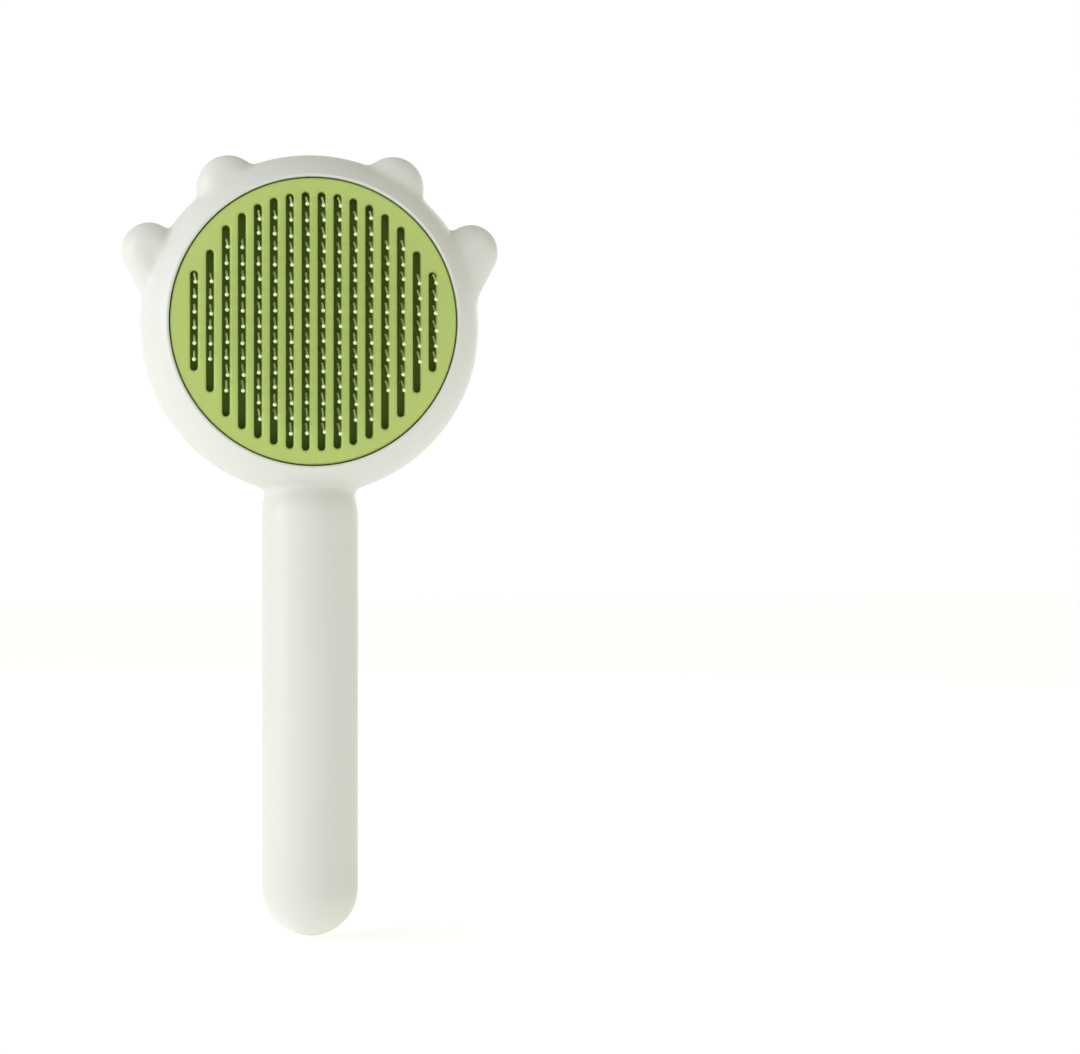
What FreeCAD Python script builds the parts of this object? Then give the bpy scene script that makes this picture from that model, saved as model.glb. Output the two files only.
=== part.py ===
"""A self-cleaning slicker brush, in millimetres, one STEP file per sub-part.

The brush stands upright: +Z runs from the handle to the head, the needles face -Y and the push button
faces +Y. The origin is on the handle's axis, halfway along its straight grip. Pushing the button moves
the slotted ejector plate out along -Y, over the needles, and a spring returns it.
"""

import FreeCAD
import Part
import math
import os

# Handle: a round bar with a domed end. Its neck narrows in arcs, more in depth than in width, so that the
# head's rim stands out over it.
HANDLE_RADIUS = 12.3
GRIP_LENGTH = 95.0
NECK_SIDE_CURVE_RADIUS = 19.0
NECK_FRONT_CURVE_RADIUS = 10.0
NECK_HEIGHT = 8.5
NECK_SECTIONS = 6
HANDLE_OVERLAP = 6.0

# Head: a thick round bun, domed behind and in front, where the dome is cut off flat at the face.
HEAD_Z = 96.3
HEAD_RADIUS = 43.4
FACE_Y = -14.3
FRONT_DOME_DEPTH = 19.15
CREST_RADIUS = 24.0
CREST_Y = 16.0
DISH_CURVE_RADIUS = 9.0

# Four rounded lobes round the upper edge of the head.
LOBE_HALF_THICKNESS = 8.0
LOBE_EDGE_RADIUS = 5.5
LOBE_TAIL_OVERLAP = 8.0
TOP_LOBE_ANGLE = 59.0
TOP_LOBE_RADIUS = 8.0
TOP_LOBE_REACH = 40.8
SIDE_LOBE_ANGLE = 24.5
SIDE_LOBE_RADIUS = 7.0
SIDE_LOBE_REACH = 45.2
SIDE_LOBE_TAIL_ANGLE = 9.3

# The two shell halves and the joint between them.
WALL = 2.2
TONGUE_INSET = 1.2
TONGUE_HEIGHT = 1.2
TONGUE_GAP = 0.1
LOBE_PEG_REACH = 44.2
LOBE_PEG_RADIUS = 1.1
LOBE_BOSS_RADIUS = 2.2
HANDLE_PEG_RADIUS = 1.6
HANDLE_BOSS_RADIUS = 3.2
HANDLE_PEG_SPACING = 38.0
PEG_GAP = 0.05
PEG_LENGTH = 5.0
PEG_ROOT = 1.0
SOCKET_EXTRA_DEPTH = 0.6

# Ring opening in the front shell and the collar behind it.
OPENING_RADIUS = 36.3
COLLAR_RADIUS = 38.0
COLLAR_END_Y = -4.4
OPENING_EDGE_RADIUS = 0.5

# Ejector plate: a slotted disc with a skirt and four guide posts.
PLATE_RADIUS = 36.0
PLATE_FRONT_Y = -13.8
PLATE_THICKNESS = 2.0
PLATE_EDGE_RADIUS = 0.6
SKIRT_WALL = 1.2
SKIRT_END_Y = -4.8
SLOT_COUNT = 16
SLOT_PITCH = 4.0
SLOT_WIDTH = 1.9
SLOT_FIELD_RADIUS = 32.5
SLOT_BESIDE_POST_HALF_LENGTH = 17.8
SLOT_EDGE_RADIUS = 0.65
POST_X = 25.6
POST_Z = 20.6
POST_RADIUS = 1.7

# Needles: bent wire staples in columns, each leg ending in a ball.
STAPLE_ROWS = [6, 10, 14, 16, 16, 14, 10, 6]
ROW_PITCHES = [3.87, 3.92, 3.82, 3.77, 3.77, 3.82, 3.92, 3.87]
COLUMN_DROPS = [0.6, 0.0, 0.0, 0.0, 0.0, 0.0, 0.0, 0.6]
WIRE_RADIUS = 0.225
WIRE_HOLE_RADIUS = 0.26
CROWN_BEND_RADIUS = 0.35
KNEE_Y = -15.0
KNEE_BEND_RADIUS = 1.2
TIP_Y = -20.8
TIP_DROP = 2.6
BALL_RADIUS = 0.5
BALL_BORE_GAP = 0.01

# Needle base: a shallow tray whose floor holds the staples and whose flange is screwed to the collar.
BASE_FRONT_Y = -10.0
BASE_FLOOR_THICKNESS = 2.4
BASE_RADIUS = 34.45
BASE_WALL_INNER_RADIUS = 33.05
BASE_FLANGE_RADIUS = 40.3
BASE_FLANGE_THICKNESS = 2.0
CROWN_POCKET_DEPTH = 0.5
CROWN_POCKET_MARGIN = 0.6
GUIDE_SLEEVE_RADIUS = 3.3
GUIDE_SLEEVE_END_Y = -0.5
GUIDE_GAP = 0.06
POST_NOTCH_RADIUS = 2.1
BACKING_RADIUS = 33.0
BACKING_THICKNESS = 1.4
SPRING_SPIGOT_RADIUS = 5.6
SPRING_SPIGOT_HEIGHT = 2.0

# Pusher: a disc with four arms, behind the needle base.
PUSHER_FRONT_Y = 7.4
PUSHER_THICKNESS = 1.8
PUSHER_RADIUS = 18.2
ARM_WIDTH = 6.0
ARM_PAD_RADIUS = 3.4
CAP_RING_RADIUS = 14.3
CAP_RING_WALL = 1.7
CAP_RING_HEIGHT = 3.4

# Push button: a domed cap pressed over the pusher's ring.
BUTTON_RADIUS = 16.25
BUTTON_HOLE_RADIUS = 16.75
BUTTON_SHOULDER_Y = 14.2
BUTTON_EDGE_RADIUS = 3.0
BUTTON_CROWN_Y = 18.2
BUTTON_WALL = 1.85
STOP_COLLAR_RADIUS = 18.4
STOP_GAP = 0.1

# Screws and the return spring.
SCREW_RADIUS = 0.95
SCREW_HOLE_GAP = 0.02
SCREW_CLEARANCE = 0.2
SCREW_HEAD_RADIUS = 1.7
SCREW_HEAD_HEIGHT = 1.2
SCREW_DRIVE_WIDTH = 0.4
SCREW_DRIVE_DEPTH = 0.6
SCREW_LENGTH = 5.0
BASE_SCREW_COUNT = 6
BASE_SCREW_CIRCLE_RADIUS = 38.9
BASE_BOSS_RADIUS = 1.8
SPRING_WIRE_RADIUS = 0.45
SPRING_COIL_RADIUS = 6.9
SPRING_TURNS = 4.5
SPRING_STEPS = 90

# Places worked out from the sizes above.
GRIP_END = GRIP_LENGTH / 2
PLATE_BACK_Y = PLATE_FRONT_Y + PLATE_THICKNESS
BASE_FLOOR_Y = BASE_FRONT_Y + BASE_FLOOR_THICKNESS
BASE_BACK_Y = COLLAR_END_Y + BASE_FLANGE_THICKNESS
CROWN_Y = BASE_FLOOR_Y - CROWN_POCKET_DEPTH / 2
BACKING_BACK_Y = BASE_FLOOR_Y + BACKING_THICKNESS
PUSHER_BACK_Y = PUSHER_FRONT_Y + PUSHER_THICKNESS
STOP_Y = PUSHER_BACK_Y + STOP_GAP
TOP_LOBE = (TOP_LOBE_ANGLE, TOP_LOBE_REACH, TOP_LOBE_RADIUS, None)
SIDE_LOBE = (SIDE_LOBE_ANGLE, SIDE_LOBE_REACH, SIDE_LOBE_RADIUS, SIDE_LOBE_TAIL_ANGLE)
REACH = 300.0

Vector = FreeCAD.Vector
X_AXIS = Vector(1, 0, 0)
Y_AXIS = Vector(0, 1, 0)
Z_AXIS = Vector(0, 0, 1)
HEAD_CENTRE = Vector(0, 0, HEAD_Z)


def save(name, shape):
    """Writes one sub-part to parts/NAME.step."""
    shape.exportStep(os.path.join("parts", name + ".step"))


def line(start, end):
    return Part.makeLine(start, end)


def arc(start, middle, end):
    return Part.Arc(start, middle, end).toShape()


def bar(radius, low_y, high_y, x=0.0, z=0.0):
    """A round bar along Y, placed from the head's centre."""
    return Part.makeCylinder(radius, high_y - low_y, Vector(x, low_y, HEAD_Z + z), Y_AXIS)


def tube(outer, inner, low_y, high_y, x=0.0, z=0.0):
    """A round tube along Y, placed from the head's centre."""
    return bar(outer, low_y, high_y, x, z).cut(bar(inner, low_y, high_y, x, z))


def slab(low_y, high_y):
    """Everything between two planes across Y."""
    corner = Vector(-REACH / 2, low_y, -REACH / 2)
    return Part.makeBox(REACH, high_y - low_y, REACH, corner)


def polar(radius, degrees):
    """The x and z of a point round the head's centre, counted from +X towards +Z."""
    angle = math.radians(degrees)
    return radius * math.cos(angle), radius * math.sin(angle)


def head_solid(inset, centre_radius, centre_y):
    """The head's bun, shrunk by inset.

    Its dish runs in to centre_radius, and steps down there if centre_y is lower.
    """

    def at(radius, y):
        return Vector(radius, y, HEAD_Z)

    rim = HEAD_RADIUS - inset
    width = rim - CREST_RADIUS
    depth = FRONT_DOME_DEPTH - inset
    face = FACE_Y + inset
    face_radius = CREST_RADIUS + width * math.sqrt(1 - (face / depth) ** 2)
    crest = CREST_Y - inset
    dish_curve = DISH_CURVE_RADIUS - inset
    dish_centre_y = crest - dish_curve

    def dish_point(radius):
        drop = CREST_RADIUS - radius
        return at(radius, dish_centre_y + math.sqrt(dish_curve**2 - drop**2))

    dish_end = dish_point(centre_radius)
    edges = [
        line(at(0, face), at(face_radius, face)),
        ellipse_arc(at(CREST_RADIUS, 0), width, depth, -math.asin(-face / depth), 0),
        ellipse_arc(at(CREST_RADIUS, 0), width, crest, 0, math.pi / 2),
        arc(at(CREST_RADIUS, crest), dish_point((CREST_RADIUS + centre_radius) / 2), dish_end),
    ]
    flat = at(centre_radius, centre_y)
    if centre_y < dish_end.y:
        edges.append(line(dish_end, flat))
        dish_end = flat
    edges.append(line(dish_end, at(0, dish_end.y)))
    edges.append(line(at(0, dish_end.y), at(0, face)))
    profile = Part.Face(Part.Wire(Part.__sortEdges__(edges)))
    return profile.revolve(HEAD_CENTRE, Y_AXIS, 360)


def ellipse_arc(centre, width, height, first, last):
    """Part of an ellipse with half axes along X and Y. The angles count from +X towards +Y."""
    if width > height:
        ellipse = Part.Ellipse(centre + X_AXIS * width, centre + Y_AXIS * height, centre)
        return ellipse.toShape(first, last)
    ellipse = Part.Ellipse(centre + Y_AXIS * height, centre - X_AXIS * width, centre)
    return ellipse.toShape(first - math.pi / 2, last - math.pi / 2)


def neck_section(rise, inset):
    """The oval outline of the neck at a height above the grip."""
    curve_height = min(rise, NECK_HEIGHT)
    half_axes = []
    for curve_radius in (NECK_SIDE_CURVE_RADIUS, NECK_FRONT_CURVE_RADIUS):
        drop = curve_radius - math.sqrt(curve_radius**2 - curve_height**2)
        half_axes.append(HANDLE_RADIUS - drop - inset)
    outline = Part.Ellipse(Vector(0, 0, GRIP_END + rise), half_axes[0], half_axes[1])
    return Part.Wire(outline.toShape())


def handle_solid(inset):
    """The handle, shrunk by inset, running up into the head."""

    def at(radius, z):
        return Vector(radius, 0, z)

    radius = HANDLE_RADIUS - inset
    half = math.sqrt(0.5)
    edges = [
        arc(at(0, -GRIP_END - radius), at(radius * half, -GRIP_END - radius * half), at(radius, -GRIP_END)),
        line(at(radius, -GRIP_END), at(radius, GRIP_END)),
        line(at(radius, GRIP_END), at(0, GRIP_END)),
        line(at(0, GRIP_END), at(0, -GRIP_END - radius)),
    ]
    grip = Part.Face(Part.Wire(edges)).revolve(Vector(0, 0, 0), Z_AXIS, 360)
    rises = [NECK_HEIGHT * step / (NECK_SECTIONS - 1) for step in range(NECK_SECTIONS)]
    rises.append(NECK_HEIGHT + HANDLE_OVERLAP)
    neck = Part.makeLoft([neck_section(rise, inset) for rise in rises], True)
    return grip.fuse(neck)


def lobe_section(radius, half_thickness, edge_radius):
    """Half of a lobe's cross-section, from its own axis out along +X, with rounded outer corners."""

    def at(out, y):
        return Vector(out, y, 0)

    half = math.sqrt(0.5)
    corner_x = radius - edge_radius
    corner_y = half_thickness - edge_radius
    reach = edge_radius * half
    return Part.Face(Part.Wire([
        line(at(0, -half_thickness), at(corner_x, -half_thickness)),
        arc(at(corner_x, -half_thickness), at(corner_x + reach, -corner_y - reach), at(radius, -corner_y)),
        line(at(radius, -corner_y), at(radius, corner_y)),
        arc(at(radius, corner_y), at(corner_x + reach, corner_y + reach), at(corner_x, half_thickness)),
        line(at(corner_x, half_thickness), at(0, half_thickness)),
        line(at(0, half_thickness), at(0, -half_thickness)),
    ]))


def lobe_solid(lobe, side, inset):
    """One lobe, shrunk by inset, as a round pebble and its tail. side is 1 for +X and -1 for -X."""
    degrees, reach, full_radius, tail_degrees = lobe
    radius = full_radius - inset
    section = lobe_section(radius, LOBE_HALF_THICKNESS - inset, LOBE_EDGE_RADIUS - inset)
    solid = section.revolve(Vector(0, 0, 0), Y_AXIS, 360)
    if tail_degrees is not None:
        tail_x, tail_z = polar(HEAD_RADIUS - inset, tail_degrees - degrees)
        distance = math.hypot(reach - tail_x, tail_z)
        normal = math.atan2(tail_z, tail_x - reach) + math.acos(radius / distance)
        length = math.sqrt(distance**2 - radius**2) + LOBE_TAIL_OVERLAP
        tail = section.extrude(Z_AXIS * -length)
        tail.rotate(Vector(0, 0, 0), Y_AXIS, -math.degrees(normal))
        solid = solid.fuse(tail)
        solid.rotate(Vector(0, 0, 0), Y_AXIS, -degrees)
    x, z = polar(reach, degrees)
    solid.translate(Vector(x, 0, HEAD_Z + z))
    if side < 0:
        solid = solid.mirror(Vector(0, 0, 0), X_AXIS)
    return solid


def body_solid(inset, centre_radius, centre_y):
    """The whole closed body, shrunk by inset."""
    pieces = [handle_solid(inset)]
    for lobe in (TOP_LOBE, SIDE_LOBE):
        for side in (1, -1):
            pieces.append(lobe_solid(lobe, side, inset))
    return head_solid(inset, centre_radius, centre_y).fuse(pieces).removeSplitter()


def peg_places():
    """Each peg's x and z from the origin, its radius and its boss's radius."""
    places = []
    for step in (-1, 0, 1):
        places.append((0.0, step * HANDLE_PEG_SPACING, HANDLE_PEG_RADIUS, HANDLE_BOSS_RADIUS))
    for degrees in (TOP_LOBE_ANGLE, SIDE_LOBE_ANGLE):
        x, z = polar(LOBE_PEG_REACH, degrees)
        for side in (1, -1):
            places.append((side * x, HEAD_Z + z, LOBE_PEG_RADIUS, LOBE_BOSS_RADIUS))
    return places


def base_screw_places():
    """The x and z of each needle base screw, from the head's centre."""
    step = 360 / BASE_SCREW_COUNT
    return [polar(BASE_SCREW_CIRCLE_RADIUS, 90 + step * index) for index in range(BASE_SCREW_COUNT)]


def post_places():
    """The x and z of each guide post, from the head's centre."""
    return [(x, z) for x in (POST_X, -POST_X) for z in (POST_Z, -POST_Z)]


def front_shell(outside, cavity, rebate):
    """The ring, the front of the lobes and the front half of the handle."""
    shell = outside.cut(cavity).common(slab(-REACH / 2, 0))
    additions = [tube(COLLAR_RADIUS, OPENING_RADIUS, FACE_Y + WALL, COLLAR_END_Y)]
    for x, z in base_screw_places():
        additions.append(bar(BASE_BOSS_RADIUS, FACE_Y, COLLAR_END_Y, x, z).common(outside))
    for x, z, _, boss_radius in peg_places():
        boss = Part.makeCylinder(boss_radius, REACH / 2, Vector(x, -REACH / 2, z), Y_AXIS)
        additions.append(boss.common(outside))
    shell = shell.fuse(additions)
    shell = shell.cut(rebate.common(slab(-TONGUE_HEIGHT - TONGUE_GAP, 0)).cut(peg_bosses()))
    for x, z in base_screw_places():
        low_y = COLLAR_END_Y - SCREW_LENGTH
        shell = shell.cut(bar(SCREW_RADIUS + SCREW_HOLE_GAP, low_y, COLLAR_END_Y, x, z))
    shell = shell.cut(bar(OPENING_RADIUS, FACE_Y - WALL, 0))
    pegs = []
    for x, z, radius, _ in peg_places():
        pegs.append(Part.makeCylinder(radius, PEG_ROOT + PEG_LENGTH, Vector(x, -PEG_ROOT, z), Y_AXIS))
    shell = shell.fuse(pegs).removeSplitter()
    return round_opening(shell)


def peg_bosses():
    """The space the pegs' bosses take, which the tongue's rebate leaves alone."""
    bosses = []
    for x, z, _, boss_radius in peg_places():
        bosses.append(Part.makeCylinder(boss_radius, REACH, Vector(x, -REACH / 2, z), Y_AXIS))
    return bosses[0].fuse(bosses[1:])


def round_opening(shell):
    """Rounds the front edge of the ring opening."""
    edges = []
    for edge in shell.Edges:
        box = edge.BoundBox
        round_here = abs(box.XLength - 2 * OPENING_RADIUS) < STOP_GAP
        if round_here and abs(box.YMax - FACE_Y) < STOP_GAP:
            edges.append(edge)
    return shell.makeFillet(OPENING_EDGE_RADIUS, edges)


def rear_shell(outside, cavity, tongue_outside):
    """The domed back, the back of the lobes and the rear half of the handle."""
    shell = outside.cut(cavity).common(slab(0, REACH / 2))
    tongue = tongue_outside.cut(cavity).common(slab(-TONGUE_HEIGHT, 0)).cut(peg_bosses())
    additions = [tongue]
    for x, z, _, boss_radius in peg_places():
        boss = Part.makeCylinder(boss_radius, REACH / 2, Vector(x, 0, z), Y_AXIS)
        additions.append(boss.common(outside))
    shell = shell.fuse(additions)
    for x, z, radius, _ in peg_places():
        depth = PEG_LENGTH + SOCKET_EXTRA_DEPTH
        shell = shell.cut(Part.makeCylinder(radius + PEG_GAP, depth, Vector(x, 0, z), Y_AXIS))
    return shell.cut(bar(BUTTON_HOLE_RADIUS, 0, REACH / 2)).removeSplitter()


def slot_wire(x, half_length, y):
    """An upright round-ended slot as a wire in the plane y, from the head's centre."""
    radius = SLOT_WIDTH / 2
    straight = half_length - radius

    def at(across, up):
        return Vector(x + across, y, HEAD_Z + up)

    return Part.Wire([
        line(at(radius, -straight), at(radius, straight)),
        arc(at(radius, straight), at(0, half_length), at(-radius, straight)),
        line(at(-radius, straight), at(-radius, -straight)),
        arc(at(-radius, -straight), at(0, -half_length), at(radius, -straight)),
    ])


def slot_places():
    """Each slot's x and half length. The slots beside the posts are shorter."""
    places = []
    for index in range(SLOT_COUNT):
        x = (index - (SLOT_COUNT - 1) / 2) * SLOT_PITCH
        half_length = math.sqrt(SLOT_FIELD_RADIUS**2 - x**2)
        if abs(abs(x) - POST_X) < SLOT_PITCH / 4:
            half_length = SLOT_BESIDE_POST_HALF_LENGTH
        places.append((x, half_length))
    return places


def circle_wire(radius, x, y, z):
    """A circle in the plane y, from the head's centre."""
    return Part.Wire(Part.makeCircle(radius, Vector(x, y, HEAD_Z + z), Y_AXIS))


def pierced_plate(outline, holes, thickness):
    """A plate with holes, from wires in one plane across Y."""
    face = Part.makeFace([outline] + holes, "Part::FaceMakerBullseye")
    return face.extrude(Y_AXIS * thickness)


def ejector_plate():
    """The slotted plate with its skirt and four posts."""
    outline = circle_wire(PLATE_RADIUS, 0, PLATE_FRONT_Y, 0)
    slots = [slot_wire(x, half_length, PLATE_FRONT_Y) for x, half_length in slot_places()]
    plate = pierced_plate(outline, slots, PLATE_THICKNESS)
    front_edges = [edge for edge in plate.Edges if edge.BoundBox.YMax < PLATE_FRONT_Y + STOP_GAP]
    slot_edges = [edge for edge in front_edges if edge.BoundBox.XLength < PLATE_RADIUS]
    plate = plate.makeFillet(SLOT_EDGE_RADIUS, slot_edges)
    rim = [edge for edge in plate.Edges if is_front_rim(edge)]
    plate = plate.makeFillet(PLATE_EDGE_RADIUS, rim)
    additions = [tube(PLATE_RADIUS, PLATE_RADIUS - SKIRT_WALL, PLATE_BACK_Y, SKIRT_END_Y)]
    for x, z in post_places():
        additions.append(bar(POST_RADIUS, PLATE_BACK_Y, PUSHER_FRONT_Y, x, z))
    plate = plate.fuse(additions)
    for x, z in post_places():
        low_y = PUSHER_FRONT_Y - SCREW_LENGTH
        plate = plate.cut(bar(SCREW_RADIUS + SCREW_HOLE_GAP, low_y, PUSHER_FRONT_Y, x, z))
    return plate.removeSplitter()


def is_front_rim(edge):
    """True for the plate's front outer edge."""
    box = edge.BoundBox
    return abs(box.YMax - PLATE_FRONT_Y) < STOP_GAP and box.XLength > 2 * PLATE_RADIUS - STOP_GAP


def staple_places():
    """For each column of staples, its middle x and the z of each staple's tips from the head's centre."""
    columns = []
    for index, (rows, pitch, drop) in enumerate(zip(STAPLE_ROWS, ROW_PITCHES, COLUMN_DROPS)):
        x = (index - (len(STAPLE_ROWS) - 1) / 2) * 2 * SLOT_PITCH
        heights = [(row - (rows - 1) / 2) * pitch - drop for row in range(rows)]
        columns.append((x, heights))
    return columns


def rounded_path(points, radii):
    """A wire through the points, with each inner corner rounded to its radius."""
    edges = []
    start = points[0]
    for index in range(1, len(points) - 1):
        corner = points[index]
        into = (corner - points[index - 1]).normalize()
        out = (points[index + 1] - corner).normalize()
        half_turn = into.getAngle(out) / 2
        reach = radii[index - 1] * math.tan(half_turn)
        arc_start = corner - into * reach
        arc_end = corner + out * reach
        towards = (out - into).normalize()
        middle = corner + towards * (radii[index - 1] * (1 / math.cos(half_turn) - 1))
        edges.append(line(start, arc_start))
        edges.append(arc(arc_start, middle, arc_end))
        start = arc_end
    edges.append(line(start, points[-1]))
    return Part.Wire(edges)


def staple():
    """One staple, with its tips' middle at the head's centre height and x = 0."""
    half = SLOT_PITCH / 2
    tip_z = HEAD_Z
    base_z = HEAD_Z + TIP_DROP
    points = [
        Vector(-half, TIP_Y, tip_z),
        Vector(-half, KNEE_Y, base_z),
        Vector(-half, CROWN_Y, base_z),
        Vector(half, CROWN_Y, base_z),
        Vector(half, KNEE_Y, base_z),
        Vector(half, TIP_Y, tip_z),
    ]
    radii = [KNEE_BEND_RADIUS, CROWN_BEND_RADIUS, CROWN_BEND_RADIUS, KNEE_BEND_RADIUS]
    path = rounded_path(points, radii)
    direction = (points[1] - points[0]).normalize()
    section = Part.Wire(Part.makeCircle(WIRE_RADIUS, points[0], direction))
    return path.makePipeShell([section], True, False)


def ball_tip():
    """One ball with a blind bore for its wire, at the head's centre height and x = 0."""
    centre = Vector(0, TIP_Y, HEAD_Z)
    direction = Vector(0, KNEE_Y - TIP_Y, TIP_DROP).normalize()
    ball = Part.makeSphere(BALL_RADIUS, centre)
    bore = Part.makeCylinder(WIRE_RADIUS + BALL_BORE_GAP, 2 * BALL_RADIUS, centre, direction)
    return ball.cut(bore)


def moved(shape, x, z):
    copy = shape.copy()
    copy.translate(Vector(x, 0, z))
    return copy


def needle_parts():
    """The staples of each column, the balls of each column, and the balls at the field's corners."""
    wire = staple()
    ball = ball_tip()
    border = []
    for number, (x, heights) in enumerate(staple_places(), start=1):
        save(f"needle_wires_{number}", Part.makeCompound([moved(wire, x, z) for z in heights]))
        inner = []
        for row, z in enumerate(heights):
            for leg in (-SLOT_PITCH / 2, SLOT_PITCH / 2):
                tip = moved(ball, x + leg, z)
                at_column_end = row in (0, len(heights) - 1)
                if at_column_end and leg * x > 0:
                    border.append(tip)
                else:
                    inner.append(tip)
        save(f"needle_tips_{number}", Part.makeCompound(inner))
    save("needle_tips_border", Part.makeCompound(border))


def needle_base():
    """The tray that the staples are pushed through, with the posts' guide sleeves."""
    leg_holes = []
    pockets = []
    for x, heights in staple_places():
        for z in heights:
            for leg in (-SLOT_PITCH / 2, SLOT_PITCH / 2):
                leg_holes.append(circle_wire(WIRE_HOLE_RADIUS, x + leg, BASE_FRONT_Y, z + TIP_DROP))
        width = SLOT_PITCH + 2 * CROWN_POCKET_MARGIN
        height = heights[-1] - heights[0] + 2 * CROWN_POCKET_MARGIN
        low_z = HEAD_Z + heights[0] + TIP_DROP - CROWN_POCKET_MARGIN
        corner = Vector(x - width / 2, BASE_FLOOR_Y - CROWN_POCKET_DEPTH, low_z)
        pockets.append(Part.makeBox(width, CROWN_POCKET_DEPTH, height, corner))
    outline = circle_wire(BASE_RADIUS, 0, BASE_FRONT_Y, 0)
    base = pierced_plate(outline, leg_holes, BASE_FLOOR_THICKNESS)
    base = base.cut(pockets)
    additions = [
        tube(BASE_RADIUS, BASE_WALL_INNER_RADIUS, BASE_FRONT_Y, BASE_BACK_Y),
        tube(BASE_FLANGE_RADIUS, BASE_WALL_INNER_RADIUS, COLLAR_END_Y, BASE_BACK_Y),
    ]
    sleeves = []
    cuts = []
    for x, z in post_places():
        sleeves.append(bar(GUIDE_SLEEVE_RADIUS, COLLAR_END_Y, GUIDE_SLEEVE_END_Y, x, z))
        cuts.append(bar(POST_NOTCH_RADIUS, BASE_FRONT_Y, COLLAR_END_Y, x, z))
        cuts.append(bar(POST_RADIUS + GUIDE_GAP, COLLAR_END_Y, GUIDE_SLEEVE_END_Y, x, z))
    for x, z in base_screw_places():
        cuts.append(bar(SCREW_RADIUS + SCREW_CLEARANCE, COLLAR_END_Y, BASE_BACK_Y, x, z))
    return base.fuse(additions + sleeves).cut(cuts).removeSplitter()


def staple_backing_plate():
    """The disc behind the staples' crowns, with a spigot for the spring."""
    plate = bar(BACKING_RADIUS, BASE_FLOOR_Y, BACKING_BACK_Y)
    plate = plate.fuse(bar(SPRING_SPIGOT_RADIUS, BACKING_BACK_Y, BACKING_BACK_Y + SPRING_SPIGOT_HEIGHT))
    notches = [bar(POST_NOTCH_RADIUS, BASE_FLOOR_Y, BACKING_BACK_Y, x, z) for x, z in post_places()]
    return plate.cut(notches).removeSplitter()


def pusher():
    """The four-armed carrier that joins the button to the posts and stops against the rear shell."""
    pieces = []
    reach = math.hypot(POST_X, POST_Z)
    for x, z in post_places():
        arm = Part.makeBox(reach, PUSHER_THICKNESS, ARM_WIDTH, Vector(0, PUSHER_FRONT_Y, -ARM_WIDTH / 2))
        arm.rotate(Vector(0, 0, 0), Y_AXIS, -math.degrees(math.atan2(z, x)))
        arm.translate(HEAD_CENTRE)
        pieces.append(arm)
        pieces.append(bar(ARM_PAD_RADIUS, PUSHER_FRONT_Y, PUSHER_BACK_Y, x, z))
    ring_inner = CAP_RING_RADIUS - CAP_RING_WALL
    pieces.append(tube(CAP_RING_RADIUS, ring_inner, PUSHER_BACK_Y, PUSHER_BACK_Y + CAP_RING_HEIGHT))
    pieces.append(bar(SPRING_SPIGOT_RADIUS, PUSHER_FRONT_Y - SPRING_SPIGOT_HEIGHT, PUSHER_FRONT_Y))
    carrier = bar(PUSHER_RADIUS, PUSHER_FRONT_Y, PUSHER_BACK_Y).fuse(pieces)
    holes = []
    for x, z in post_places():
        holes.append(bar(SCREW_RADIUS + SCREW_CLEARANCE, PUSHER_FRONT_Y, PUSHER_BACK_Y, x, z))
    return carrier.cut(holes).removeSplitter()


def button_half_profile(inset):
    """The button's outline from its foot to its middle, shrunk by inset."""

    def at(radius, y):
        return Vector(radius, y, HEAD_Z)

    half = math.sqrt(0.5)
    radius = BUTTON_RADIUS - inset
    edge_radius = BUTTON_EDGE_RADIUS - inset / 2
    edge_x = radius - edge_radius
    top_y = BUTTON_SHOULDER_Y + BUTTON_EDGE_RADIUS - inset
    crown_y = BUTTON_CROWN_Y - inset
    corner_y = top_y - edge_radius
    rise = crown_y - top_y
    dome_radius = (edge_x**2 + rise**2) / (2 * rise)
    dome_middle_y = crown_y - dome_radius + math.sqrt(dome_radius**2 - (edge_x / 2) ** 2)
    corner_middle = at(edge_x + edge_radius * half, corner_y + edge_radius * half)
    return [
        line(at(radius, PUSHER_BACK_Y), at(radius, corner_y)),
        arc(at(radius, corner_y), corner_middle, at(edge_x, top_y)),
        arc(at(edge_x, top_y), at(edge_x / 2, dome_middle_y), at(0, crown_y)),
    ]


def button():
    """The hollow domed push button."""
    outer = button_half_profile(0)
    inner = button_half_profile(BUTTON_WALL)
    crown = line(Vector(0, BUTTON_CROWN_Y, HEAD_Z), Vector(0, BUTTON_CROWN_Y - BUTTON_WALL, HEAD_Z))
    foot = line(
        Vector(BUTTON_RADIUS - BUTTON_WALL, PUSHER_BACK_Y, HEAD_Z),
        Vector(BUTTON_RADIUS, PUSHER_BACK_Y, HEAD_Z),
    )
    profile = Part.Face(Part.Wire(outer + [crown] + inner[::-1] + [foot]))
    return profile.revolve(HEAD_CENTRE, Y_AXIS, 360)


def screw(seat_y, x, z):
    """A pan-head screw driven along -Y, its head resting on seat_y."""
    head = bar(SCREW_HEAD_RADIUS, seat_y, seat_y + SCREW_HEAD_HEIGHT, x, z)
    shank = bar(SCREW_RADIUS, seat_y - SCREW_LENGTH, seat_y, x, z)
    solid = head.fuse(shank)
    long_side = SCREW_HEAD_RADIUS
    low_y = seat_y + SCREW_HEAD_HEIGHT - SCREW_DRIVE_DEPTH
    for width, height in ((long_side, SCREW_DRIVE_WIDTH), (SCREW_DRIVE_WIDTH, long_side)):
        corner = Vector(x - width / 2, low_y, HEAD_Z + z - height / 2)
        solid = solid.cut(Part.makeBox(width, SCREW_DRIVE_DEPTH, height, corner))
    return solid


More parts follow.
